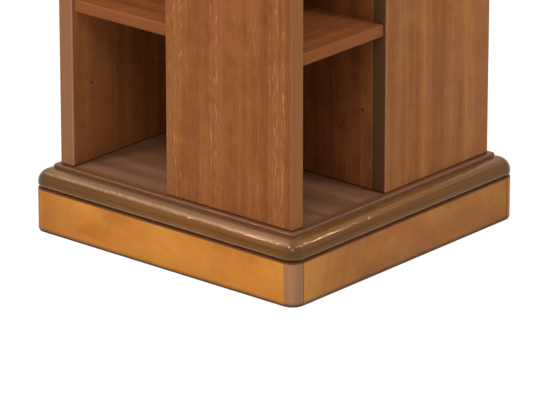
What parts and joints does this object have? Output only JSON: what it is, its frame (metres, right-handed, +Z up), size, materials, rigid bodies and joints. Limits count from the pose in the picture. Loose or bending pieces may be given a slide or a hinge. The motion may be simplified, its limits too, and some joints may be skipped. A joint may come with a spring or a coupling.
{
  "type": "rotating media tower",
  "caption": "Square wooden tower of open shelves for disc cases, set as a pinwheel between moulded boards and turning on a ball bearing over a plinth with rounded corners.",
  "frame": {"origin": "centre of the footprint, on the floor", "axes": "+Z up, -Y is the front, +X is the right side"},
  "size_m": [0.342, 0.342, 1.05],
  "materials": {
    "panel_wood": "satin lacquer on streaky mid-brown cherry",
    "shelf_wood": "satin lacquer on mid-brown cherry",
    "moulding_wood": "glossy dark brown lacquer",
    "plinth_veneer": "satin lacquer on light orange veneer",
    "corner_wood": "satin lacquer on pinkish brown solid wood",
    "hidden_wood": "bare",
    "bearing_steel": "zinc plated",
    "ball_steel": "polished",
    "glide_plastic": "matt"
  },
  "bodies": {
    "plinth": {"plinth_deck": "hidden_wood", "lower_bearing_plate": "bearing_steel", "front_rail": "plinth_veneer", "front_right_post": "corner_wood", "front_right_glue_block": "hidden_wood", "front_right_glide": "glide_plastic", "front_right_lower_screw": "bearing_steel", "right_rail": "plinth_veneer", "right_back_post": "corner_wood", "right_back_glue_block": "hidden_wood", "right_back_glide": "glide_plastic", "right_back_lower_screw": "bearing_steel", "back_rail": "plinth_veneer", "back_left_post": "corner_wood", "back_left_glue_block": "hidden_wood", "back_left_glide": "glide_plastic", "back_left_lower_screw": "bearing_steel", "left_rail": "plinth_veneer", "left_front_post": "corner_wood", "left_front_glue_block": "hidden_wood", "left_front_glide": "glide_plastic", "left_front_lower_screw": "bearing_steel"},
    "cage": {"ball_cage": "ball_steel"},
    "tower": {"upper_bearing_plate": "bearing_steel", "base_board": "moulding_wood", "top_board": "moulding_wood", "front_panel": "panel_wood", "front_divider": "panel_wood", "right_shelf_1": "shelf_wood", "right_shelf_2": "shelf_wood", "right_shelf_3": "shelf_wood", "right_shelf_4": "shelf_wood", "right_shelf_5": "shelf_wood", "front_right_upper_screw": "bearing_steel", "right_panel": "panel_wood", "right_divider": "panel_wood", "back_shelf_1": "shelf_wood", "back_shelf_2": "shelf_wood", "back_shelf_3": "shelf_wood", "back_shelf_4": "shelf_wood", "back_shelf_5": "shelf_wood", "right_back_upper_screw": "bearing_steel", "back_panel": "panel_wood", "back_divider": "panel_wood", "left_shelf_1": "shelf_wood", "left_shelf_2": "shelf_wood", "left_shelf_3": "shelf_wood", "left_shelf_4": "shelf_wood", "left_shelf_5": "shelf_wood", "back_left_upper_screw": "bearing_steel", "left_panel": "panel_wood", "left_divider": "panel_wood", "front_shelf_1": "shelf_wood", "front_shelf_2": "shelf_wood", "front_shelf_3": "shelf_wood", "front_shelf_4": "shelf_wood", "front_shelf_5": "shelf_wood", "left_front_upper_screw": "bearing_steel"}
  },
  "joints": [
    {"name": "swivel", "type": "hinge", "parent": "plinth", "child": "tower", "pos_m": [0, 0, 0.0439], "axis": [0, 0, 1], "continuous": true},
    {"name": "cage_turn", "type": "hinge", "parent": "plinth", "child": "cage", "pos_m": [0, 0, 0.0439], "axis": [0, 0, 1], "continuous": true}
  ],
  "couplings": [
    {"joint": "cage_turn", "follows": "swivel", "ratio": 0.5}
  ]
}
